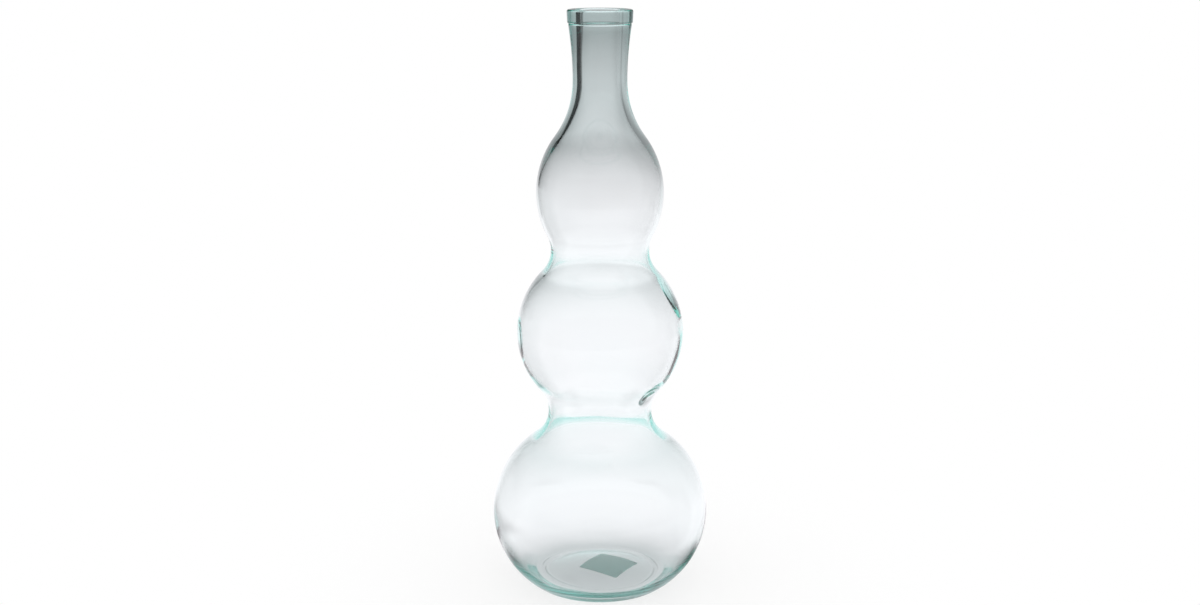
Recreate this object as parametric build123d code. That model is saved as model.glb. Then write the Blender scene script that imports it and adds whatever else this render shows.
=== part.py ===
from build123d import *

import math
import os
from dataclasses import dataclass

# Three-bulb gourd vase in pale recycled glass.
# A blown vessel of three bulbs that grow towards the foot, a band of glass laid round its mouth,
# and a blank square label stuck under its base.
# The origin is the middle of the plane that the vase stands on, and +Z runs up its axis.
# Lengths are in millimetres and angles in degrees.

# Lowest bulb and the foot under it
LOW_BULB_RADIUS = 94.0
LOW_BULB_LEVEL = 65.0        # height of its widest ring above the table
LOW_BULB_CURVE = 79.5        # radius of its profile above the widest ring
FOOT_RADIUS = 58.0           # where the heel's curve would meet the table
FOOT_ROUND = 9.0             # rounding between the heel and the table
PUNT_RADIUS = 45.0           # inner edge of the ring that the vase stands on
PUNT_HEIGHT = 4.5            # rise of the hollow under the base

# Middle and top bulbs, each a distance above the bulb below it
MIDDLE_BULB_RADIUS = 71.5
MIDDLE_BULB_RISE = 161.5
MIDDLE_BULB_CURVE = 74.5
TOP_BULB_RADIUS = 54.0
TOP_BULB_RISE = 121.0
TOP_BULB_CURVE = 79.5

# Waists between the bulbs
LOW_WAIST_CURVE = 30.5
HIGH_WAIST_CURVE = 27.0

# Neck
NECK_RADIUS = 22.75          # at its narrowest
NECK_SWEEP = 77.5            # curve from the top bulb up into the neck
NECK_FLARE_HEIGHT = 47.0     # from the narrowest ring to the lip
NECK_FLARE = 3.5             # how far the neck opens out over that height
NECK_ROUND = 1.1             # rounding of its edge under the lip
NECK_END_RADIUS = 21.5       # the neck's cut end, inside the lip ring

# Lip ring
LIP_RADIUS = 27.5
LIP_HEIGHT = 11.5
LIP_ROUND = 2.4

# Inside of the glass
WALL = 4.2                   # bulbs and waists
FLOOR_WALL = 7.0             # base
FLOOR_ROUND = 30.0           # inside corner between floor and heel
MOUTH_BORE_RADIUS = 16.0
SHOULDER_BORE_CURVE = 62.0   # inside of the top bulb above its widest ring, where the wall grows
BORE_SWEEP = 80.0            # curve from the top bulb up into the bore
RIM_ROUND = 2.0              # fire-polished edge of the mouth

# Label
LABEL_SIDE = 38.0
LABEL_CORNER = 1.5
LABEL_THICKNESS = 0.2
LABEL_GLUE = 0.05            # film between the paper and the glass
LABEL_TO_RIGHT = 7.5
LABEL_TO_BACK = 1.5
LABEL_TURN = -32.0


def point(radius, level):
    """A point of the profile, in the half plane that is turned about the axis."""
    return Vector(radius, 0, level)


@dataclass
class Curve:
    """A circle in the profile's half plane."""

    centre: Vector
    radius: float

    def offset(self, amount):
        """The circle that stands this far outside this one."""
        return Curve(self.centre, self.radius + amount)

    def towards(self, other):
        """The point of this circle that faces the other one's centre."""
        return self.centre + (other.centre - self.centre).normalized() * self.radius

    def arc(self, start, end):
        """The shorter arc of this circle between two of its points."""
        middle = ((start - self.centre) + (end - self.centre)).normalized() * self.radius
        return ThreePointArc(start, self.centre + middle, end)


def bulb_curve(radius, level, curve):
    """The circle of a bulb's profile, from its widest ring and the profile's own radius."""
    return Curve(point(radius - curve, level), curve)


def crossing(lower, upper):
    """Where two circles cross, on the side away from the axis."""
    across = upper.centre - lower.centre
    along = (across.length**2 + lower.radius**2 - upper.radius**2) / (2 * across.length)
    aside = math.sqrt(lower.radius**2 - along**2)
    up = across.normalized()
    return lower.centre + up * along + Vector(up.Z, 0, -up.X) * aside


def waist_curve(lower, upper, radius):
    """The hollow curve of that radius which touches both bulbs from outside."""
    return Curve(crossing(lower.offset(radius), upper.offset(radius)), radius)


def neck_curve(bulb, neck_radius, radius):
    """The hollow curve of that radius which leaves a bulb and ends upright at the neck's radius."""
    reach = bulb.radius + radius
    aside = neck_radius + radius - bulb.centre.X
    level = bulb.centre.Z + math.sqrt(reach**2 - aside**2)
    return Curve(point(neck_radius + radius, level), radius)


def arc_radius(aside, along):
    """The radius of an arc that starts along a line, goes this far along it and this far aside."""
    return (aside**2 + along**2) / (2 * aside)


# Levels of the widest rings
middle_level = LOW_BULB_LEVEL + MIDDLE_BULB_RISE
top_level = middle_level + TOP_BULB_RISE

# Circles of the outer skin
heel_radius = arc_radius(LOW_BULB_RADIUS - FOOT_RADIUS, LOW_BULB_LEVEL)
heel = bulb_curve(LOW_BULB_RADIUS, LOW_BULB_LEVEL, heel_radius)
low = bulb_curve(LOW_BULB_RADIUS, LOW_BULB_LEVEL, LOW_BULB_CURVE)
middle = bulb_curve(MIDDLE_BULB_RADIUS, middle_level, MIDDLE_BULB_CURVE)
top = bulb_curve(TOP_BULB_RADIUS, top_level, TOP_BULB_CURVE)
low_waist = waist_curve(low, middle, LOW_WAIST_CURVE)
high_waist = waist_curve(middle, top, HIGH_WAIST_CURVE)
neck = neck_curve(top, NECK_RADIUS, NECK_SWEEP)
flare_radius = arc_radius(NECK_FLARE, NECK_FLARE_HEIGHT - NECK_ROUND)
flare = Curve(point(NECK_RADIUS + flare_radius, neck.centre.Z), flare_radius)

# Hollow under the base, and the floor that lies parallel to it
punt_radius = arc_radius(PUNT_HEIGHT, PUNT_RADIUS)
punt = Curve(point(0, PUNT_HEIGHT - punt_radius), punt_radius)
floor = punt.offset(FLOOR_WALL)

# Levels at the mouth
lip_level = neck.centre.Z + NECK_FLARE_HEIGHT
rim_level = lip_level + LIP_HEIGHT


def foot_round():
    """The rounding that touches the table and the inside of the heel's circle."""
    reach = heel.radius - FOOT_ROUND
    drop = heel.centre.Z - FOOT_ROUND
    return Curve(point(heel.centre.X + math.sqrt(reach**2 - drop**2), FOOT_ROUND), FOOT_ROUND)


def outer_skin():
    """Edges of the outside, from the middle of the hollow under the base to the neck's cut end."""
    foot = foot_round()
    stand_inside = point(PUNT_RADIUS, 0)
    stand_outside = point(foot.centre.X, 0)
    low_widest = point(LOW_BULB_RADIUS, LOW_BULB_LEVEL)
    narrowest = point(NECK_RADIUS, neck.centre.Z)
    flare_end = point(NECK_RADIUS + NECK_FLARE, lip_level - NECK_ROUND)
    edge = Curve(flare_end - point(NECK_ROUND, 0), NECK_ROUND)
    edge_end = edge.centre + point(0, NECK_ROUND)
    seat_corner = point(NECK_END_RADIUS, lip_level)
    return [
        punt.arc(point(0, PUNT_HEIGHT), stand_inside),
        Line(stand_inside, stand_outside),
        foot.arc(stand_outside, heel.towards(foot)),
        heel.arc(heel.towards(foot), low_widest),
        low.arc(low_widest, low.towards(low_waist)),
        low_waist.arc(low.towards(low_waist), middle.towards(low_waist)),
        middle.arc(middle.towards(low_waist), middle.towards(high_waist)),
        high_waist.arc(middle.towards(high_waist), top.towards(high_waist)),
        top.arc(top.towards(high_waist), top.towards(neck)),
        neck.arc(top.towards(neck), narrowest),
        flare.arc(narrowest, flare_end),
        edge.arc(flare_end, edge_end),
        Line(edge_end, seat_corner),
        Line(seat_corner, point(NECK_END_RADIUS, rim_level)),
    ]


def inner_skin():
    """Edges of the inside, from the middle of the floor to the fire-polished rim."""
    heel_in, low_in, middle_in, top_in = (curve.offset(-WALL) for curve in (heel, low, middle, top))
    low_waist_in, high_waist_in = (curve.offset(WALL) for curve in (low_waist, high_waist))
    low_widest = point(LOW_BULB_RADIUS - WALL, LOW_BULB_LEVEL)
    top_widest = point(TOP_BULB_RADIUS - WALL, top_level)
    shoulder_in = bulb_curve(TOP_BULB_RADIUS - WALL, top_level, SHOULDER_BORE_CURVE)
    neck_in = neck_curve(shoulder_in, MOUTH_BORE_RADIUS, BORE_SWEEP)
    corner = Curve(crossing(floor.offset(FLOOR_ROUND), heel_in.offset(-FLOOR_ROUND)), FLOOR_ROUND)
    bore_start = point(MOUTH_BORE_RADIUS, neck_in.centre.Z)
    bore_end = point(MOUTH_BORE_RADIUS, rim_level - RIM_ROUND)
    rim = Curve(point(MOUTH_BORE_RADIUS + RIM_ROUND, rim_level - RIM_ROUND), RIM_ROUND)
    rim_end = point(MOUTH_BORE_RADIUS + RIM_ROUND, rim_level)
    return [
        floor.arc(point(0, PUNT_HEIGHT + FLOOR_WALL), floor.towards(corner)),
        corner.arc(floor.towards(corner), heel_in.towards(corner)),
        heel_in.arc(heel_in.towards(corner), low_widest),
        low_in.arc(low_widest, low_in.towards(low_waist_in)),
        low_waist_in.arc(low_in.towards(low_waist_in), middle_in.towards(low_waist_in)),
        middle_in.arc(middle_in.towards(low_waist_in), middle_in.towards(high_waist_in)),
        high_waist_in.arc(middle_in.towards(high_waist_in), top_in.towards(high_waist_in)),
        top_in.arc(top_in.towards(high_waist_in), top_widest),
        shoulder_in.arc(top_widest, shoulder_in.towards(neck_in)),
        neck_in.arc(shoulder_in.towards(neck_in), bore_start),
        Line(bore_start, bore_end),
        rim.arc(bore_end, rim_end),
    ]


def turned(edges):
    """The solid that a closed outline makes when it is turned about the vase's axis."""
    return revolve(Face(Wire(edges)), Axis.Z)


def vessel():
    """The blown body: base, three bulbs, two waists and the neck, as one wall of glass."""
    rim = Line(point(MOUTH_BORE_RADIUS + RIM_ROUND, rim_level), point(NECK_END_RADIUS, rim_level))
    axis = Line(point(0, PUNT_HEIGHT), point(0, PUNT_HEIGHT + FLOOR_WALL))
    return turned([*outer_skin(), rim, *inner_skin(), axis])


def lip_ring():
    """The band laid round the neck's cut end, seated on the neck's shoulder and flush with the rim."""
    side = LIP_RADIUS - LIP_ROUND
    lower = Curve(point(side, lip_level + LIP_ROUND), LIP_ROUND)
    upper = Curve(point(side, rim_level - LIP_ROUND), LIP_ROUND)
    inner_low, inner_high = point(NECK_END_RADIUS, lip_level), point(NECK_END_RADIUS, rim_level)
    outer_low, outer_high = point(side, lip_level), point(side, rim_level)
    side_low = point(LIP_RADIUS, lip_level + LIP_ROUND)
    side_high = point(LIP_RADIUS, rim_level - LIP_ROUND)
    return turned([
        Line(inner_low, outer_low),
        lower.arc(outer_low, side_low),
        Line(side_low, side_high),
        upper.arc(side_high, outer_high),
        Line(outer_high, inner_high),
        Line(inner_high, inner_low),
    ])


def base_label():
    """The blank square label, bent to the hollow under the base that it is stuck in."""
    paper_top = punt.offset(-LABEL_GLUE)
    paper_bottom = paper_top.offset(-LABEL_THICKNESS)
    shell = Sphere(paper_top.radius) - Sphere(paper_bottom.radius)
    square = RectangleRounded(LABEL_SIDE, LABEL_SIDE, LABEL_CORNER)
    prism = extrude(square, PUNT_HEIGHT)
    place = Pos(LABEL_TO_RIGHT, LABEL_TO_BACK, 0) * Rot(0, 0, LABEL_TURN)
    return (place * prism) & (Pos(0, 0, punt.centre.Z) * shell)


def main():
    os.makedirs("parts", exist_ok=True)
    nodes = {"vessel": vessel(), "lip_ring": lip_ring(), "base_label": base_label()}
    for name, solid in nodes.items():
        export_step(solid, f"parts/{name}.step")
    print(f"height {rim_level:.1f}, widest {2 * LOW_BULB_RADIUS:.1f}")
    print(f"waists {low_waist.centre.X - LOW_WAIST_CURVE:.1f} and {high_waist.centre.X - HIGH_WAIST_CURVE:.1f}")
    print(f"stands on a ring from {PUNT_RADIUS:.1f} to {foot_round().centre.X:.1f}")


main()
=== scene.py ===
"""Three-bulb gourd vase in pale recycled glass, standing in a white studio."""

import math
from dataclasses import dataclass

import bpy
from bpy.props import FloatProperty, FloatVectorProperty, IntProperty, PointerProperty
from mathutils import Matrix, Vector


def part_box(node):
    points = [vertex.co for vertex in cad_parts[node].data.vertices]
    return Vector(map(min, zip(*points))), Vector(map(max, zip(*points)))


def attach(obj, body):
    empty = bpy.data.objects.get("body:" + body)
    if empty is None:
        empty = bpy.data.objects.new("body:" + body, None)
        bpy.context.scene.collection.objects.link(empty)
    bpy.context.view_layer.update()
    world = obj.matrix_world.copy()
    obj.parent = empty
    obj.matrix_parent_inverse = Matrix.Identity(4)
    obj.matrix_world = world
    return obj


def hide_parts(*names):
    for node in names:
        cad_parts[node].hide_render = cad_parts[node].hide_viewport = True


bl_info = {
    "name": "Three-bulb gourd vase",
    "version": (1, 0, 0),
    "blender": (4, 5, 0),
    "location": "3D View > Sidebar > Vase",
    "description": "Blows a three-bulb glass vase over its solid model and stands it in a white studio",
    "category": "Object",
}

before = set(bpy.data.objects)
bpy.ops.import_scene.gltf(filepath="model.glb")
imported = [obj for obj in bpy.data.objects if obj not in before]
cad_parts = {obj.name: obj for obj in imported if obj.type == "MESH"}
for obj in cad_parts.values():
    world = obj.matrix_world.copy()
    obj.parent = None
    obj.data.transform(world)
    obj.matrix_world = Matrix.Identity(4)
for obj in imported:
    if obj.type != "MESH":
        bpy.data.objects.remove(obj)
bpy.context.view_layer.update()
VESSEL_LOW, VESSEL_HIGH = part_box("vessel")
LIP_LOW, LIP_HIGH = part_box("lip_ring")

BODY = "root"
GLASS_NAME = "glass_body"
LABEL_NODE = "base_label"
LABEL_NAME = "label_paper"
INSIDE_GROUP = "inside"
WHITE = (1, 1, 1, 1)
LIGHT_BOUNCES = 48
HALF_A_BOUNCE = 0.5

# Facets of the runs and pieces whose size sets no number
RING_PARTS = 6
LIP_SIDE_PARTS = 3
RIM_PARTS = 4
BORE_PARTS = 12
LEAST_ARC_PARTS = 2
LABEL_PARTS = 24
LABEL_CORNER_PARTS = 3
STAGE_FACETS = 96

# How near counts as the same place, in metres or as a share
MERGE_DISTANCE = 1e-6
ON_TABLE = 1e-5
AT_CORNER_SHARE = 0.999
NEAR_LEVEL_SHARE = 0.25

# Fibres of the label's paper
FIBRE_SCALE = 900.0
FIBRE_DETAIL = 4.0
FIBRE_ROUGHNESS = 0.6
FIBRE_DARK_BELOW = 0.35
FIBRE_PALE_ABOVE = 0.65
FIBRE_BUMP = 0.3
FIBRE_HEIGHT = 0.0001
PAPER_ROUGHNESS = 0.85


@dataclass
class CardOrPaintedShadow:
    """A darker place of the tent's glow, or a painted shadow on the table, which only the glass shows.

    Its bearings are in degrees from straight behind, with left below zero. Its reach is up the tent or
    out along the table, in metres. The shade is the share of light that it leaves, and the soft sizes
    say how gently it ends both ways.
    """

    bearings: tuple
    reach: tuple
    shade: float
    soft_turn: float
    soft_reach: float


@dataclass
class ThickSpot:
    """A thicker place of the wall: its bearing in degrees from straight behind, the rest in metres."""

    bearing: float
    level: float
    depth: float
    width: float


# All in the middle bulb
THICK_SPOTS = (
    ThickSpot(bearing=92, level=0.261, depth=0.0045, width=0.022),
    ThickSpot(bearing=-95, level=0.222, depth=0.003, width=0.018),
    ThickSpot(bearing=124, level=0.1755, depth=0.004, width=0.013),
)
TENT_CARDS = (
    # The whole left side
    CardOrPaintedShadow(bearings=(-78, -44), reach=(-1, 2), shade=0.5, soft_turn=20, soft_reach=0.1),
    # The stripe in the neck's left wall, the streak on the shoulder and the lip's left end
    CardOrPaintedShadow(bearings=(-66, -37), reach=(0.34, 2), shade=0.12, soft_turn=7, soft_reach=0.1),
    CardOrPaintedShadow(bearings=(-40, -14), reach=(0.68, 2), shade=0.1, soft_turn=6, soft_reach=0.03),
    CardOrPaintedShadow(bearings=(-46, -33), reach=(0.28, 0.42), shade=0.3, soft_turn=4, soft_reach=0.03),
    # The line in the neck's right wall
    CardOrPaintedShadow(bearings=(48, 54), reach=(0.34, 2), shade=0.75, soft_turn=3, soft_reach=0.03),
    CardOrPaintedShadow(bearings=(42, 58), reach=(0.36, 2), shade=0.95, soft_turn=8, soft_reach=0.1),
    # The right edges of the bulbs
    CardOrPaintedShadow(bearings=(38, 75), reach=(-1, 0.28), shade=0.82, soft_turn=12, soft_reach=0.06),
)
# Painted shadows on the table, which only the glass shows
TABLE_PAINTED_SHADOWS = (
    # Painted shadow on the table at the heel's edges, left and right
    CardOrPaintedShadow(bearings=(-112, -92), reach=(0.1, 0.122), shade=0.25, soft_turn=24, soft_reach=0.034),
    CardOrPaintedShadow(bearings=(86, 104), reach=(0.1, 0.122), shade=0.25, soft_turn=24, soft_reach=0.034),
    # Painted shade on the table to the left, which the left edges of the bulbs show
    CardOrPaintedShadow(bearings=(-80, -48), reach=(0.15, 2), shade=0.58, soft_turn=16, soft_reach=0.04),
)
# Brightness of the tent by its height, and of the table by the distance from the vase's axis, in metres;
# the table's is painted shadow, darkest under the vase
TENT_SHADES = (
    (0.0, 1.02), (0.05, 1.0), (0.1, 0.95), (0.15, 0.88), (0.2, 0.82), (0.24, 0.77), (0.3, 0.67),
    (0.35, 0.6), (0.4, 0.54), (0.47, 0.48), (0.55, 0.38), (0.7, 0.3), (1.1, 0.35),
)
TABLE_PAINTED_SHADES = (
    (0.0, 0.55), (0.055, 0.62), (0.085, 0.84), (0.12, 0.98), (0.15, 1.03), (0.22, 1.06), (1.1, 1.03),
)
# What the tent fades to on the camera's side, and what the table is to plain light
FRONT_SHADE = 0.74
TABLE_WHITE = 0.94


def length(name, description, default):
    """A length that a user may change, in metres."""
    return FloatProperty(name=name, description=description, default=default, min=0.0, precision=5,
                         subtype="DISTANCE", unit="LENGTH")


def colour(name, description, default):
    """A colour that a user may change, in linear red, green and blue."""
    return FloatVectorProperty(name=name, description=description, default=default, min=0.0, max=1.0,
                               size=3, subtype="COLOR")


def share(name, description, default):
    """A share between nothing and all."""
    return FloatProperty(name=name, description=description, default=default, min=0.0, max=1.0,
                         subtype="FACTOR")


def turn(name, description, degrees):
    """An angle that a user may change."""
    return FloatProperty(name=name, description=description, default=math.radians(degrees),
                         subtype="ANGLE", unit="ROTATION")


class VASE_PG_sizes(bpy.types.PropertyGroup):
    """Sizes of the blown glass."""

    low_bulb_radius: length("Low bulb radius", "Widest ring of the lowest bulb",
                            (VESSEL_HIGH.x - VESSEL_LOW.x) / 2)
    low_bulb_level: length("Low bulb level", "Height of the lowest bulb's widest ring", 0.065)
    low_bulb_curve: length("Low bulb curve", "Profile radius above that ring", 0.0795)
    foot_radius: length("Foot radius", "Where the heel's curve would meet the table", 0.058)
    foot_round: length("Foot round", "Rounding between the heel and the table", 0.009)
    punt_radius: length("Punt radius", "Inner edge of the ring that the vase stands on", 0.045)
    punt_height: length("Punt height", "Rise of the hollow under the base", 0.0045)
    middle_bulb_radius: length("Middle bulb radius", "Widest ring of the middle bulb", 0.0715)
    middle_bulb_rise: length("Middle bulb rise", "From the low bulb's widest ring to this one's", 0.1615)
    middle_bulb_curve: length("Middle bulb curve", "Profile radius of the middle bulb", 0.0745)
    top_bulb_radius: length("Top bulb radius", "Widest ring of the top bulb", 0.054)
    top_bulb_rise: length("Top bulb rise", "From the middle bulb's widest ring to this one's", 0.121)
    top_bulb_curve: length("Top bulb curve", "Profile radius of the top bulb", 0.0795)
    low_waist_curve: length("Low waist curve", "Hollow curve between low and middle bulb", 0.0305)
    high_waist_curve: length("High waist curve", "Hollow curve between middle and top bulb", 0.027)
    neck_radius: length("Neck radius", "The neck at its narrowest", 0.02275)
    neck_sweep: length("Neck sweep", "Curve from the top bulb up into the neck", 0.0775)
    neck_flare: length("Neck flare", "How far the neck opens out below the lip", 0.0035)
    neck_round: length("Neck round", "Rounding of the neck's edge under the lip", 0.0011)
    lip_radius: length("Lip radius", "Outside of the lip ring", (LIP_HIGH.x - LIP_LOW.x) / 2)
    lip_level: length("Lip level", "Height of the lip ring's lower face", LIP_LOW.z)
    lip_round: length("Lip round", "Rounding of the lip ring's outer edges", 0.0016)
    lip_lean: length("Lip lean", "How far the lip ring draws in towards its lower edge", 0.0004)
    lip_groove: length("Lip groove", "Depth of the groove under the lip ring, from its side", 0.0022)
    rim_level: length("Rim level", "Height of the rim", VESSEL_HIGH.z)
    rim_round: length("Rim round", "Fire-polished edge of the mouth", 0.0012)
    bore_radius: length("Bore radius", "Inside of the neck", 0.016)
    bore_sweep: length("Bore sweep", "Curve from the top bulb up into the bore", 0.08)
    shoulder_bore_curve: length("Shoulder bore curve", "Inside of the top bulb above its widest ring",
                                0.064)
    heel_bore_curve: length("Heel bore curve", "Inside of the low bulb below its widest ring", 0.0705)
    wall: length("Wall", "Glass at the widest rings of the bulbs, where it was blown thinnest", 0.0024)
    upper_growth: length("Upper growth", "How much tighter the inside curves above a widest ring", 0.01)
    lower_growth: length("Lower growth", "How much tighter the inside curves below a widest ring", 0.0045)
    low_spread: length("Low spread", "How much wider the low waist curves inside than outside", 0.007)
    high_spread: length("High spread", "How much wider the high waist curves inside than outside", 0.006)
    floor_wall: length("Floor wall", "Glass of the base", 0.0082)
    floor_round: length("Floor round", "Inside corner between floor and heel", 0.03)
    wave_height: length("Wave height", "Unevenness of the blown inner skin", 0.0011)
    wave_length: length("Wave length", "Distance between those waves", 0.055)
    stipple_depth: length("Stipple depth", "Depth of the notches in the ring it stands on", 0.0006)
    stipple_margin: length("Stipple margin", "Plain edge each side of the notches", 0.002)
    label_side: length("Label side", "The square label under the base", 0.038)
    label_corner: length("Label corner", "Rounding of its corners", 0.0015)
    label_thickness: length("Label thickness", "Paper of the label", 0.0002)
    label_wet: length("Label wet", "How far its glue takes it into the glass, so no air shows", 0.00005)
    label_to_right: length("Label to right", "From the axis", 0.0075)
    label_to_back: length("Label to back", "From the axis", 0.0015)
    label_turn: turn("Label turn", "How it was stuck on", -32)
    longest_step: length("Longest step", "Longest facet along the profile", 0.0048)
    widest_step: turn("Widest step", "Widest turn of one facet along the profile", 3.8)
    facets_round: IntProperty(name="Facets round", description="Facets round the vase", default=240,
                              min=12)


class VASE_PG_finish(bpy.types.PropertyGroup):
    """Colours of the glass and the label."""

    glass_bend: FloatProperty(name="Bend", description="Index of refraction", default=1.5, min=1.0)
    glass_tint: colour("Glass tint", "What a thick piece of the glass lets through", (0.45, 0.88, 0.83))
    glass_depth: FloatProperty(name="Glass depth", default=20.0, min=0.0,
                               description="How fast the glass takes light, per metre")
    label_pale: colour("Label pale", "Lighter fibres of the paper", (0.8, 0.94, 0.92))
    label_dark: colour("Label dark", "Darker fibres of the paper", (0.7, 0.85, 0.83))


class VASE_PG_studio(bpy.types.PropertyGroup):
    """The camera, the table and the light."""

    photo_width: FloatProperty(name="Picture width", description="In pixels", default=1200.0)
    focal_pixels: FloatProperty(name="Focal length", description="In pixels of the picture",
                                default=1600.0)
    camera_distance: length("Camera distance", "From the point that it looks at", 1.375)
    camera_angle: turn("Camera angle", "How far the camera looks down", 13.5)
    aim_level: length("Aim level", "Height on the axis that it looks at", 0.2518)
    tent_radius: length("Tent radius", "The white tent round the set, and the table in it", 1.1)
    shadow_reach: length("Shadow reach", "How far out the table shows the shadow", 0.34)
    shadow_share: share("Shadow share", "How much of the shadow shows beside the vase", 0.22)
    fill: FloatProperty(name="Fill", description="Even light on the table and the label", default=1.06,
                        min=0.0)
    surround: colour("Surround", "Colour of the tent and the table through the glass",
                     (0.985, 0.962, 0.99))


@dataclass
class Curve:
    """A circle in the profile's half plane, where x is the radius and y the height."""

    centre: Vector
    radius: float

    def offset(self, amount):
        """The circle that stands this far outside this one."""
        return Curve(self.centre, self.radius + amount)

    def towards(self, other):
        """The point of this circle that faces the other one's centre."""
        return self.centre + (other.centre - self.centre).normalized() * self.radius


@dataclass
class Stroke:
    """One run of the profile: an arc about a centre, or a straight run in a number of parts."""

    end: Vector
    centre: Vector = None
    parts: int = 1


def point(radius, level):
    """A point of the profile."""
    return Vector((radius, level))


def bulb_curve(radius, level, curve):
    """The circle of a bulb's profile, from its widest ring and the profile's own radius."""
    return Curve(point(radius - curve, level), curve)


def crossing(lower, upper):
    """Where two circles cross, on the side away from the axis."""
    across = upper.centre - lower.centre
    along = (across.length**2 + lower.radius**2 - upper.radius**2) / (2 * across.length)
    aside = math.sqrt(lower.radius**2 - along**2)
    up = across.normalized()
    return lower.centre + up * along + point(up.y, -up.x) * aside


def waist_curve(lower, upper, radius):
    """The hollow curve of that radius which touches both bulbs from outside."""
    return Curve(crossing(lower.offset(radius), upper.offset(radius)), radius)


def neck_curve(bulb, neck_radius, radius):
    """The hollow curve of that radius which leaves a bulb and ends upright at the neck's radius."""
    reach = bulb.radius + radius
    aside = neck_radius + radius - bulb.centre.x
    return Curve(point(neck_radius + radius, bulb.centre.y + math.sqrt(reach**2 - aside**2)), radius)


def arc_radius(aside, along):
    """The radius of an arc that starts along a line, goes this far along it and this far aside."""
    return (aside**2 + along**2) / (2 * aside)


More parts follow.
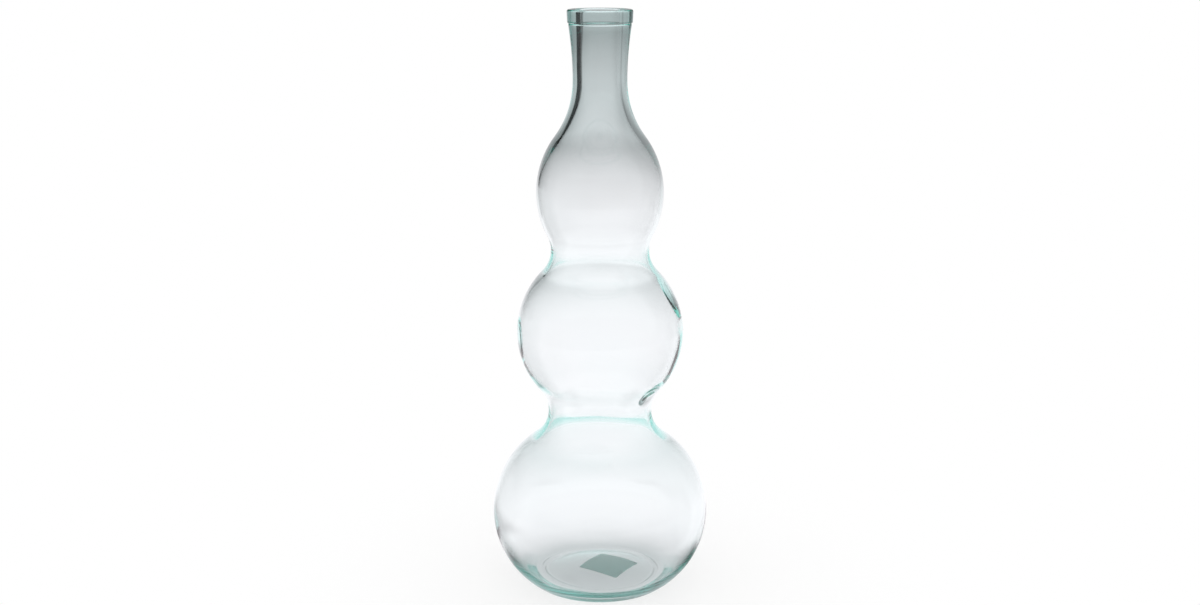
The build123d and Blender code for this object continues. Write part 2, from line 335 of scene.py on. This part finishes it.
class GlassProfile:
    """The circles that the outer and inner skin of the glass are drawn with."""

    def __init__(self, s):
        self.s = s
        middle_level = s.low_bulb_level + s.middle_bulb_rise
        heel_radius = arc_radius(s.low_bulb_radius - s.foot_radius, s.low_bulb_level)
        self.heel = bulb_curve(s.low_bulb_radius, s.low_bulb_level, heel_radius)
        self.low = bulb_curve(s.low_bulb_radius, s.low_bulb_level, s.low_bulb_curve)
        self.middle = bulb_curve(s.middle_bulb_radius, middle_level, s.middle_bulb_curve)
        self.top = bulb_curve(s.top_bulb_radius, middle_level + s.top_bulb_rise, s.top_bulb_curve)
        self.low_waist = waist_curve(self.low, self.middle, s.low_waist_curve)
        self.high_waist = waist_curve(self.middle, self.top, s.high_waist_curve)
        self.neck = neck_curve(self.top, s.neck_radius, s.neck_sweep)
        punt_curve = arc_radius(s.punt_height, s.punt_radius)
        self.punt = Curve(point(0, s.punt_height - punt_curve), punt_curve)

    def start(self):
        """The middle of the hollow under the base."""
        return point(0, self.s.punt_height)

    def foot(self):
        """The rounding that touches the table and the inside of the heel's circle."""
        s, heel = self.s, self.heel
        reach, drop = heel.radius - s.foot_round, heel.centre.y - s.foot_round
        return Curve(point(heel.centre.x + math.sqrt(reach**2 - drop**2), s.foot_round), s.foot_round)

    def outer_strokes(self):
        """The outside, from the middle of the hollow under the base to the groove under the lip."""
        s, foot = self.s, self.foot()
        heel, low, middle, top = self.heel, self.low, self.middle, self.top
        low_waist, high_waist, neck = self.low_waist, self.high_waist, self.neck
        flare_height = s.lip_level - s.neck_round - neck.centre.y
        flare_curve = arc_radius(s.neck_flare, flare_height)
        flare_centre = point(s.neck_radius + flare_curve, neck.centre.y)
        flare_end = point(s.neck_radius + s.neck_flare, s.lip_level - s.neck_round)
        edge_centre = flare_end - point(s.neck_round, 0)
        return [
            Stroke(point(s.punt_radius, 0), self.punt.centre),
            Stroke(point(foot.centre.x, 0), parts=RING_PARTS),
            Stroke(heel.towards(foot), foot.centre),
            Stroke(point(s.low_bulb_radius, s.low_bulb_level), heel.centre),
            Stroke(low.towards(low_waist), low.centre),
            Stroke(middle.towards(low_waist), low_waist.centre),
            Stroke(middle.towards(high_waist), middle.centre),
            Stroke(top.towards(high_waist), high_waist.centre),
            Stroke(top.towards(neck), top.centre),
            Stroke(point(s.neck_radius, neck.centre.y), neck.centre),
            Stroke(flare_end, flare_centre),
            Stroke(edge_centre + point(0, s.neck_round), edge_centre),
        ]

    def lip_strokes(self):
        """The lip, from the groove under it over its rounded side to the mouth's inner edge."""
        s = self.s
        low_side = point(s.lip_radius - s.lip_lean, s.lip_level + s.lip_round)
        high_side = point(s.lip_radius, s.rim_level - s.lip_round)
        inwards = point(-s.lip_round, 0)
        groove = point(s.lip_radius - s.lip_groove, low_side.y)
        drop = math.sqrt(s.lip_round**2 - (groove - low_side - inwards).x**2)
        inner_edge = s.bore_radius + s.rim_round
        return [
            Stroke(groove - point(0, drop)),
            Stroke(low_side, low_side + inwards),
            Stroke(high_side, parts=LIP_SIDE_PARTS),
            Stroke(high_side + point(-s.lip_round, s.lip_round), high_side + inwards),
            Stroke(point(inner_edge, s.rim_level), parts=RIM_PARTS),
        ]

    def lined(self, bulb, curve):
        """The inside of a bulb, a wall away from it at its widest ring."""
        widest = self.widest(bulb)
        return bulb_curve(widest.x, widest.y, curve)

    def widest(self, bulb):
        """The widest ring inside a bulb."""
        return point(bulb.centre.x + bulb.radius - self.s.wall, bulb.centre.y)

    def inner_strokes(self):
        """The inside, from the mouth's inner edge down to the middle of the floor."""
        s = self.s
        low, above_middle = (self.lined(bulb, bulb.radius - s.upper_growth)
                             for bulb in (self.low, self.middle))
        middle, top = (self.lined(bulb, bulb.radius - s.lower_growth) for bulb in (self.middle, self.top))
        heel = self.lined(self.heel, s.heel_bore_curve)
        shoulder = self.lined(self.top, s.shoulder_bore_curve)
        low_waist = waist_curve(low, middle, s.low_waist_curve + s.low_spread)
        high_waist = waist_curve(above_middle, top, s.high_waist_curve + s.high_spread)
        neck = neck_curve(shoulder, s.bore_radius, s.bore_sweep)
        floor = self.punt.offset(s.floor_wall)
        corner_centre = crossing(floor.offset(s.floor_round), heel.offset(-s.floor_round))
        corner = Curve(corner_centre, s.floor_round)
        rim_centre = point(s.bore_radius + s.rim_round, s.rim_level - s.rim_round)
        return [
            Stroke(point(s.bore_radius, s.rim_level - s.rim_round), rim_centre),
            Stroke(point(s.bore_radius, neck.centre.y), parts=BORE_PARTS),
            Stroke(shoulder.towards(neck), neck.centre),
            Stroke(self.widest(self.top), shoulder.centre),
            Stroke(top.towards(high_waist), top.centre),
            Stroke(above_middle.towards(high_waist), high_waist.centre),
            Stroke(self.widest(self.middle), above_middle.centre),
            Stroke(middle.towards(low_waist), middle.centre),
            Stroke(low.towards(low_waist), low_waist.centre),
            Stroke(self.widest(self.low), low.centre),
            Stroke(heel.towards(corner), heel.centre),
            Stroke(floor.towards(corner), corner.centre),
            Stroke(point(0, s.punt_height + s.floor_wall), floor.centre),
        ]


def in_space(spot):
    """A point of the profile in the half plane y = 0."""
    return Vector((spot.x, 0, spot.y))


def draw_strokes(start, strokes, sizes):
    """Draws on from the selected vertex: arcs are spun round their centres, straight runs extruded."""
    spot = start
    for stroke in strokes:
        if stroke.centre is None:
            step = in_space(stroke.end - spot) / stroke.parts
            for _ in range(stroke.parts):
                bpy.ops.mesh.extrude_vertices_move(TRANSFORM_OT_translate={"value": step})
        else:
            before, after = spot - stroke.centre, stroke.end - stroke.centre
            angle = -before.angle_signed(after)
            by_turn = abs(angle) / sizes.widest_step
            by_length = abs(angle) * before.length / sizes.longest_step
            bpy.ops.mesh.spin(steps=math.ceil(max(by_turn, by_length, LEAST_ARC_PARTS)), angle=angle,
                              center=in_space(stroke.centre), axis=(0, 1, 0))
        spot = stroke.end
    return spot


def select_vertices(piece, wanted):
    """Selects the vertices that pass a test, and leaves the piece in edit mode."""
    bpy.ops.object.mode_set(mode="EDIT")
    bpy.ops.mesh.select_mode(type="VERT")
    bpy.ops.mesh.select_all(action="DESELECT")
    bpy.ops.object.mode_set(mode="OBJECT")
    for vertex in piece.data.vertices:
        vertex.select = wanted(vertex.co)
    bpy.ops.object.mode_set(mode="EDIT")


def blow_body(sizes):
    """The whole wall of glass, with the lip fused on, as one closed mesh."""
    profile = GlassProfile(sizes)
    bpy.ops.object.select_all(action="DESELECT")
    bpy.ops.mesh.primitive_plane_add(size=sizes.foot_radius)
    piece = bpy.context.object
    piece.name = piece.data.name = GLASS_NAME
    piece.vertex_groups.new(name=INSIDE_GROUP)

    bpy.ops.object.mode_set(mode="EDIT")
    bpy.ops.mesh.select_mode(type="VERT")
    bpy.ops.mesh.select_all(action="SELECT")
    bpy.ops.mesh.merge(type="CENTER")
    bpy.ops.transform.translate(value=in_space(profile.start()))
    spot = draw_strokes(profile.start(), profile.outer_strokes() + profile.lip_strokes(), sizes)
    bpy.ops.object.vertex_group_assign()
    draw_strokes(spot, profile.inner_strokes(), sizes)

    bpy.ops.mesh.select_all(action="SELECT")
    bpy.ops.mesh.spin(steps=sizes.facets_round, angle=math.tau, center=(0, 0, 0), axis=(0, 0, 1))
    bpy.ops.mesh.select_all(action="SELECT")
    bpy.ops.mesh.remove_doubles(threshold=MERGE_DISTANCE)
    bpy.ops.mesh.normals_make_consistent(inside=False)
    bpy.ops.object.mode_set(mode="OBJECT")
    return piece


def stipple_foot(piece, sizes):
    """Short notches across the ring that the vase stands on."""
    inner = sizes.punt_radius + sizes.stipple_margin
    outer = GlassProfile(sizes).foot().centre.x - sizes.stipple_margin
    facet = math.tau / sizes.facets_round

    def notched(spot):
        radius = math.hypot(spot.x, spot.y)
        every_other = round(math.atan2(spot.y, spot.x) / facet) % 2 == 0
        return abs(spot.z) < ON_TABLE and inner < radius < outer and every_other

    select_vertices(piece, notched)
    bpy.ops.transform.translate(value=(0, 0, sizes.stipple_depth))
    bpy.ops.object.mode_set(mode="OBJECT")


def wave_inside(piece, sizes):
    """The gentle unevenness that blowing leaves on the inner skin."""
    waves = bpy.data.textures.new("blown waves", "CLOUDS")
    waves.noise_scale = sizes.wave_length
    waves.noise_depth = 1
    modifier = piece.modifiers.new("blown waves", "DISPLACE")
    modifier.texture = waves
    modifier.texture_coords = "LOCAL"
    modifier.vertex_group = INSIDE_GROUP
    modifier.strength = sizes.wave_height
    bpy.ops.object.modifier_apply(modifier=modifier.name)


def thicken_wall(piece):
    """The places where the blown wall has stayed thicker, pulled out of the inner skin."""
    inside = piece.vertex_groups[INSIDE_GROUP].index
    for spot in THICK_SPOTS:
        bearing = math.radians(spot.bearing)
        away = Vector((math.sin(bearing), math.cos(bearing), 0))
        skin = [v for v in piece.data.vertices if any(group.group == inside for group in v.groups)]
        level = [v for v in skin if abs(v.co.z - spot.level) < spot.width * NEAR_LEVEL_SHARE]
        middle = max(level, key=lambda v: v.co.dot(away) - abs(v.co.z - spot.level))
        place, inward = middle.co.copy(), middle.normal * spot.depth
        select_vertices(piece, lambda co: (co - place).length < MERGE_DISTANCE)
        bpy.ops.transform.translate(value=inward, use_proportional_edit=True,
                                    use_proportional_connected=True, proportional_edit_falloff="SMOOTH",
                                    proportional_size=spot.width)
        bpy.ops.object.mode_set(mode="OBJECT")


def add_node(tree, kind, **sockets):
    """A node of a tree, with some of its sockets set by name."""
    node = tree.nodes.new(kind)
    for name, value in sockets.items():
        node.inputs[name.replace("_", " ")].default_value = value
    return node


def opaque(rgb):
    """A colour with full alpha."""
    return (*rgb, 1.0)


def new_material(name):
    """An empty node material and its tree, with an output."""
    material = bpy.data.materials.new(name)
    material.use_nodes = True
    material.node_tree.nodes.clear()
    return material, material.node_tree, material.node_tree.nodes.new("ShaderNodeOutputMaterial")


def glass_material(finish):
    """Clear glass whose pale aqua shows where the light has far to go in it."""
    material, tree, output = new_material("recycled glass")
    surface = add_node(tree, "ShaderNodeBsdfPrincipled", Base_Color=WHITE, Roughness=0.0,
                       IOR=finish.glass_bend, Transmission_Weight=1.0)
    depth = add_node(tree, "ShaderNodeVolumeAbsorption", Color=opaque(finish.glass_tint),
                     Density=finish.glass_depth)
    tree.links.new(surface.outputs["BSDF"], output.inputs["Surface"])
    tree.links.new(depth.outputs["Volume"], output.inputs["Volume"])
    return material


def label_material(finish):
    """Blank matt paper with fibres."""
    material, tree, output = new_material("label paper")
    place = tree.nodes.new("ShaderNodeTexCoord")
    fibres = add_node(tree, "ShaderNodeTexNoise", Scale=FIBRE_SCALE, Detail=FIBRE_DETAIL,
                      Roughness=FIBRE_ROUGHNESS)
    shade = tree.nodes.new("ShaderNodeValToRGB")
    dark, pale = shade.color_ramp.elements
    dark.position, dark.color = FIBRE_DARK_BELOW, opaque(finish.label_dark)
    pale.position, pale.color = FIBRE_PALE_ABOVE, opaque(finish.label_pale)
    bump = add_node(tree, "ShaderNodeBump", Strength=FIBRE_BUMP, Distance=FIBRE_HEIGHT)
    surface = add_node(tree, "ShaderNodeBsdfPrincipled", Roughness=PAPER_ROUGHNESS)
    tree.links.new(place.outputs["Object"], fibres.inputs["Vector"])
    tree.links.new(fibres.outputs["Fac"], shade.inputs["Fac"])
    tree.links.new(shade.outputs["Color"], surface.inputs["Base Color"])
    tree.links.new(fibres.outputs["Fac"], bump.inputs["Height"])
    tree.links.new(bump.outputs["Normal"], surface.inputs["Normal"])
    tree.links.new(surface.outputs["BSDF"], output.inputs["Surface"])
    return material


class VASE_OT_blow_body(bpy.types.Operator):
    """Blows the glass body with its lip over the solid vessel"""

    bl_idname = "vase.blow_body"
    bl_label = "Blow the glass body"

    def execute(self, context):
        sizes = context.scene.vase_sizes
        piece = blow_body(sizes)
        stipple_foot(piece, sizes)
        wave_inside(piece, sizes)
        thicken_wall(piece)
        bpy.ops.object.shade_smooth()
        piece.data.materials.append(glass_material(context.scene.vase_finish))
        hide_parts("vessel", "lip_ring")
        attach(piece, BODY)
        return {"FINISHED"}


def cut_label(sizes, glass):
    """The square of paper, pressed up against the hollow under the base and wet with its glue."""
    bpy.ops.object.select_all(action="DESELECT")
    place = (sizes.label_to_right, sizes.label_to_back, -sizes.label_side)
    bpy.ops.mesh.primitive_grid_add(x_subdivisions=LABEL_PARTS, y_subdivisions=LABEL_PARTS,
                                    size=sizes.label_side, location=place,
                                    rotation=(0, 0, sizes.label_turn))
    paper = bpy.context.object
    paper.name = paper.data.name = LABEL_NAME
    corner = sizes.label_side / 2 * AT_CORNER_SHARE
    select_vertices(paper, lambda spot: min(abs(spot.x), abs(spot.y)) > corner)
    bpy.ops.mesh.bevel(offset=sizes.label_corner, segments=LABEL_CORNER_PARTS, affect="VERTICES")
    bpy.ops.object.mode_set(mode="OBJECT")
    bpy.ops.object.transform_apply(location=True, rotation=True, scale=True)

    press = paper.modifiers.new("press", "SHRINKWRAP")
    press.target = glass
    press.wrap_method = "PROJECT"
    press.use_project_z = True
    press.use_positive_direction = True
    press.use_negative_direction = False
    bpy.ops.object.modifier_apply(modifier=press.name)
    thick = paper.modifiers.new("thick", "SOLIDIFY")
    thick.thickness = sizes.label_thickness
    thick.offset = -1
    bpy.ops.object.modifier_apply(modifier=thick.name)
    bpy.ops.object.mode_set(mode="EDIT")
    bpy.ops.mesh.select_all(action="SELECT")
    bpy.ops.transform.translate(value=(0, 0, sizes.label_wet))
    bpy.ops.object.mode_set(mode="OBJECT")
    return paper


class VASE_OT_stick_label(bpy.types.Operator):
    """Sticks the blank label under the base"""

    bl_idname = "vase.stick_label"
    bl_label = "Stick the label"

    def execute(self, context):
        paper = cut_label(context.scene.vase_sizes, bpy.data.objects[GLASS_NAME])
        paper.data.materials.append(label_material(context.scene.vase_finish))
        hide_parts(LABEL_NODE)
        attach(paper, BODY)
        return {"FINISHED"}


def math_node(tree, operation, first, second):
    """The result of one sum on two values, each an output of a node or a number."""
    node = tree.nodes.new("ShaderNodeMath")
    node.operation = operation
    for index, value in enumerate((first, second)):
        if isinstance(value, (int, float)):
            node.inputs[index].default_value = value
        else:
            tree.links.new(value, node.inputs[index])
    return node.outputs["Value"]


def mix_shaders(tree, factor, first, second):
    """A blend from one shader to another."""
    node = tree.nodes.new("ShaderNodeMixShader")
    tree.links.new(factor, node.inputs[0])
    tree.links.new(first, node.inputs[1])
    tree.links.new(second, node.inputs[2])
    return node.outputs["Shader"]


def seen_in_glass(tree, path):
    """1 for a ray straight off or through the glass, and 0 for one that lights a matt surface."""
    glassy = math_node(tree, "MAXIMUM", path.outputs["Is Glossy Ray"], path.outputs["Is Transmission Ray"])
    never_matt = math_node(tree, "LESS_THAN", path.outputs["Diffuse Depth"], HALF_A_BOUNCE)
    return math_node(tree, "MULTIPLY", glassy, never_matt)


def ramp_node(tree, value, stops):
    """A grey that changes with a value from 0 to 1, by stops of place and brightness."""
    ramp = tree.nodes.new("ShaderNodeValToRGB")
    while len(ramp.color_ramp.elements) < len(stops):
        ramp.color_ramp.elements.new(1.0)
    for element, (place, shade) in zip(ramp.color_ramp.elements, stops):
        element.position = place
        element.color = (shade, shade, shade, 1)
    tree.links.new(value, ramp.inputs["Fac"])
    return ramp.outputs["Color"]


def between(tree, value, low, high, soft):
    """A mask that is 1 where a value lies between two others, with soft edges outside them."""
    rise = add_node(tree, "ShaderNodeMapRange", From_Min=low - soft, From_Max=low)
    fall = add_node(tree, "ShaderNodeMapRange", From_Min=high, From_Max=high + soft,
                    To_Min=1.0, To_Max=0.0)
    for edge in (rise, fall):
        edge.interpolation_type = "SMOOTHSTEP"
        tree.links.new(value, edge.inputs["Value"])
    return math_node(tree, "MULTIPLY", rise.outputs["Result"], fall.outputs["Result"])


def tinted_light(tree, shade, tint):
    """A glow of one colour, as bright as a shade."""
    scaled = tree.nodes.new("ShaderNodeVectorMath")
    scaled.operation = "SCALE"
    scaled.inputs[0].default_value = tint
    tree.links.new(shade, scaled.inputs["Scale"])
    glow = add_node(tree, "ShaderNodeEmission", Strength=1.0)
    tree.links.new(scaled.outputs["Vector"], glow.inputs["Color"])
    return glow.outputs["Emission"]


def bearing_node(tree, axes):
    """The bearing of a point, from straight behind the vase."""
    return math_node(tree, "ARCTAN2", axes.outputs["X"], axes.outputs["Y"])


def shaded(tree, studio, bearing, reach, stops, cards_and_shadows):
    """The brightness of the tent by its stops and dark places, and the painted shadow of the table by its
    stops and patches.
    """
    part = math_node(tree, "DIVIDE", reach, studio.tent_radius)
    shade = ramp_node(tree, part, [(place / studio.tent_radius, grey) for place, grey in stops])
    for card_or_shadow in cards_and_shadows:
        start, end = (math.radians(angle) for angle in card_or_shadow.bearings)
        across = between(tree, bearing, start, end, math.radians(card_or_shadow.soft_turn))
        along = between(tree, reach, *card_or_shadow.reach, card_or_shadow.soft_reach)
        darken = add_node(tree, "ShaderNodeMapRange", To_Min=1.0, To_Max=card_or_shadow.shade)
        tree.links.new(math_node(tree, "MULTIPLY", across, along), darken.inputs["Value"])
        shade = math_node(tree, "MULTIPLY", shade, darken.outputs["Result"])
    return shade


def place_nodes(tree):
    """The place of a point on the tent or the table: its distance from the origin, and its axes."""
    place = tree.nodes.new("ShaderNodeTexCoord")
    distance = tree.nodes.new("ShaderNodeVectorMath")
    distance.operation = "LENGTH"
    axes = tree.nodes.new("ShaderNodeSeparateXYZ")
    tree.links.new(place.outputs["Object"], distance.inputs[0])
    tree.links.new(place.outputs["Object"], axes.inputs["Vector"])
    return distance.outputs["Value"], axes


def table_material(studio):
    """White table. It shows a faint shadow beside the vase, and, only in the glass, a painted shadow
    under, beside and to the left of the vase.
    """
    material, tree, output = new_material("white table")
    material.cycles.emission_sampling = "NONE"
    distance, axes = place_nodes(tree)
    path = tree.nodes.new("ShaderNodeLightPath")

    near = add_node(tree, "ShaderNodeMapRange", From_Min=VESSEL_HIGH.x, From_Max=studio.shadow_reach,
                    To_Min=1.0 - studio.shadow_share, To_Max=1.0)
    near.interpolation_type = "SMOOTHSTEP"
    tree.links.new(distance, near.inputs["Value"])
    matt = add_node(tree, "ShaderNodeBsdfDiffuse", Color=opaque((TABLE_WHITE, TABLE_WHITE, TABLE_WHITE)))
    plain = add_node(tree, "ShaderNodeEmission", Color=WHITE, Strength=1.0)
    white = math_node(tree, "MULTIPLY", near.outputs["Result"], path.outputs["Is Camera Ray"])
    direct = mix_shaders(tree, white, matt.outputs["BSDF"], plain.outputs["Emission"])

    # Only the glass sees the table as a glow, with painted shadow under and beside the vase
    shade = shaded(tree, studio, bearing_node(tree, axes), distance, TABLE_PAINTED_SHADES, TABLE_PAINTED_SHADOWS)
    through = tinted_light(tree, shade, studio.surround)
    surface = mix_shaders(tree, seen_in_glass(tree, path), direct, through)
    tree.links.new(surface, output.inputs["Surface"])
    return material


def tent_material(studio):
    """The tent that the glass shows: white at its foot, greyer above, with dark places at its sides."""
    material, tree, output = new_material("studio tent")
    material.cycles.emission_sampling = "NONE"
    _, axes = place_nodes(tree)
    shade = shaded(tree, studio, bearing_node(tree, axes), axes.outputs["Z"], TENT_SHADES, TENT_CARDS)
    front = add_node(tree, "ShaderNodeMapRange", From_Min=0.0, From_Max=-studio.tent_radius / 2)
    tree.links.new(axes.outputs["Y"], front.inputs["Value"])
    paler = math_node(tree, "SUBTRACT", FRONT_SHADE, shade)
    shade = math_node(tree, "ADD", shade, math_node(tree, "MULTIPLY", front.outputs["Result"], paler))

    gone = tree.nodes.new("ShaderNodeBsdfTransparent")
    in_glass = seen_in_glass(tree, tree.nodes.new("ShaderNodeLightPath"))
    glow = tinted_light(tree, shade, studio.surround)
    surface = mix_shaders(tree, in_glass, gone.outputs["BSDF"], glow)
    tree.links.new(surface, output.inputs["Surface"])
    return material


def light_studio(scene, studio):
    """White for the camera, and an even light on whatever is matt."""
    world = bpy.data.worlds.new("white studio")
    scene.world = world
    world.use_nodes = True
    tree = world.node_tree
    tree.nodes.clear()
    output = tree.nodes.new("ShaderNodeOutputWorld")
    white = add_node(tree, "ShaderNodeBackground", Color=WHITE, Strength=1.0)
    fill = add_node(tree, "ShaderNodeBackground", Color=WHITE, Strength=studio.fill)
    path = tree.nodes.new("ShaderNodeLightPath")
    shown = mix_shaders(tree, path.outputs["Is Camera Ray"], fill.outputs["Background"],
                        white.outputs["Background"])
    tree.links.new(shown, output.inputs["Surface"])


def add_table(studio):
    """The pale table top."""
    bpy.ops.object.select_all(action="DESELECT")
    bpy.ops.mesh.primitive_circle_add(vertices=STAGE_FACETS, radius=studio.tent_radius, fill_type="NGON")
    table = bpy.context.object
    table.name = "table"
    table.data.materials.append(table_material(studio))


def add_tent(studio):
    """The round tent over the table, which only the glass sees."""
    bpy.ops.object.select_all(action="DESELECT")
    bpy.ops.mesh.primitive_uv_sphere_add(segments=STAGE_FACETS, ring_count=STAGE_FACETS // 2,
                                         radius=studio.tent_radius)
    tent = bpy.context.object
    tent.name = "tent"
    bpy.ops.object.mode_set(mode="EDIT")
    bpy.ops.mesh.select_all(action="SELECT")
    bpy.ops.mesh.bisect(plane_co=(0, 0, 0), plane_no=(0, 0, 1), clear_inner=True)
    bpy.ops.object.mode_set(mode="OBJECT")
    bpy.ops.object.shade_smooth()
    tent.data.materials.append(tent_material(studio))


def add_camera(scene, studio):
    """A camera at the picture's own viewing angle."""
    aim = Vector((0, 0, studio.aim_level))
    back = Vector((0, -math.cos(studio.camera_angle), math.sin(studio.camera_angle)))
    bpy.ops.object.camera_add(location=aim + back * studio.camera_distance)
    camera = bpy.context.object
    camera.rotation_euler = back.to_track_quat("Z", "Y").to_euler()
    camera.data.lens = camera.data.sensor_width * studio.focal_pixels / studio.photo_width
    scene.camera = camera


class VASE_OT_set_studio(bpy.types.Operator):
    """Sets the table, the tent, the light and the camera"""

    bl_idname = "vase.set_studio"
    bl_label = "Set the studio"

    def execute(self, context):
        scene, studio = context.scene, context.scene.vase_studio
        add_table(studio)
        add_tent(studio)
        light_studio(scene, studio)
        add_camera(scene, studio)
        scene.view_settings.view_transform = "Standard"
        scene.cycles.max_bounces = LIGHT_BOUNCES
        scene.cycles.transmission_bounces = scene.cycles.glossy_bounces = LIGHT_BOUNCES
        return {"FINISHED"}


class VASE_PT_vase(bpy.types.Panel):
    """Sizes, finish and studio of the vase"""

    bl_label = "Gourd vase"
    bl_idname = "VASE_PT_vase"
    bl_space_type = "VIEW_3D"
    bl_region_type = "UI"
    bl_category = "Vase"

    def draw(self, context):
        for settings in (context.scene.vase_sizes, context.scene.vase_finish, context.scene.vase_studio):
            box = self.layout.box()
            for name in settings.bl_rna.properties.keys():
                if name not in {"rna_type", "name"}:
                    box.prop(settings, name)
        for operator in OPERATORS:
            self.layout.operator(operator.bl_idname)


GROUPS = {"vase_sizes": VASE_PG_sizes, "vase_finish": VASE_PG_finish, "vase_studio": VASE_PG_studio}
OPERATORS = (VASE_OT_blow_body, VASE_OT_stick_label, VASE_OT_set_studio)
CLASSES = (*GROUPS.values(), *OPERATORS, VASE_PT_vase)


def register():
    """Makes the settings, the operators and the panel known to Blender."""
    for cls in CLASSES:
        bpy.utils.register_class(cls)
    for name, group in GROUPS.items():
        setattr(bpy.types.Scene, name, PointerProperty(type=group))


def unregister():
    """Takes them away again."""
    for name in GROUPS:
        delattr(bpy.types.Scene, name)
    for cls in reversed(CLASSES):
        bpy.utils.unregister_class(cls)


def main():
    """Builds the vase in its studio."""
    register()
    bpy.ops.vase.blow_body()
    bpy.ops.vase.stick_label()
    bpy.ops.vase.set_studio()


if __name__ == "__main__":
    main()
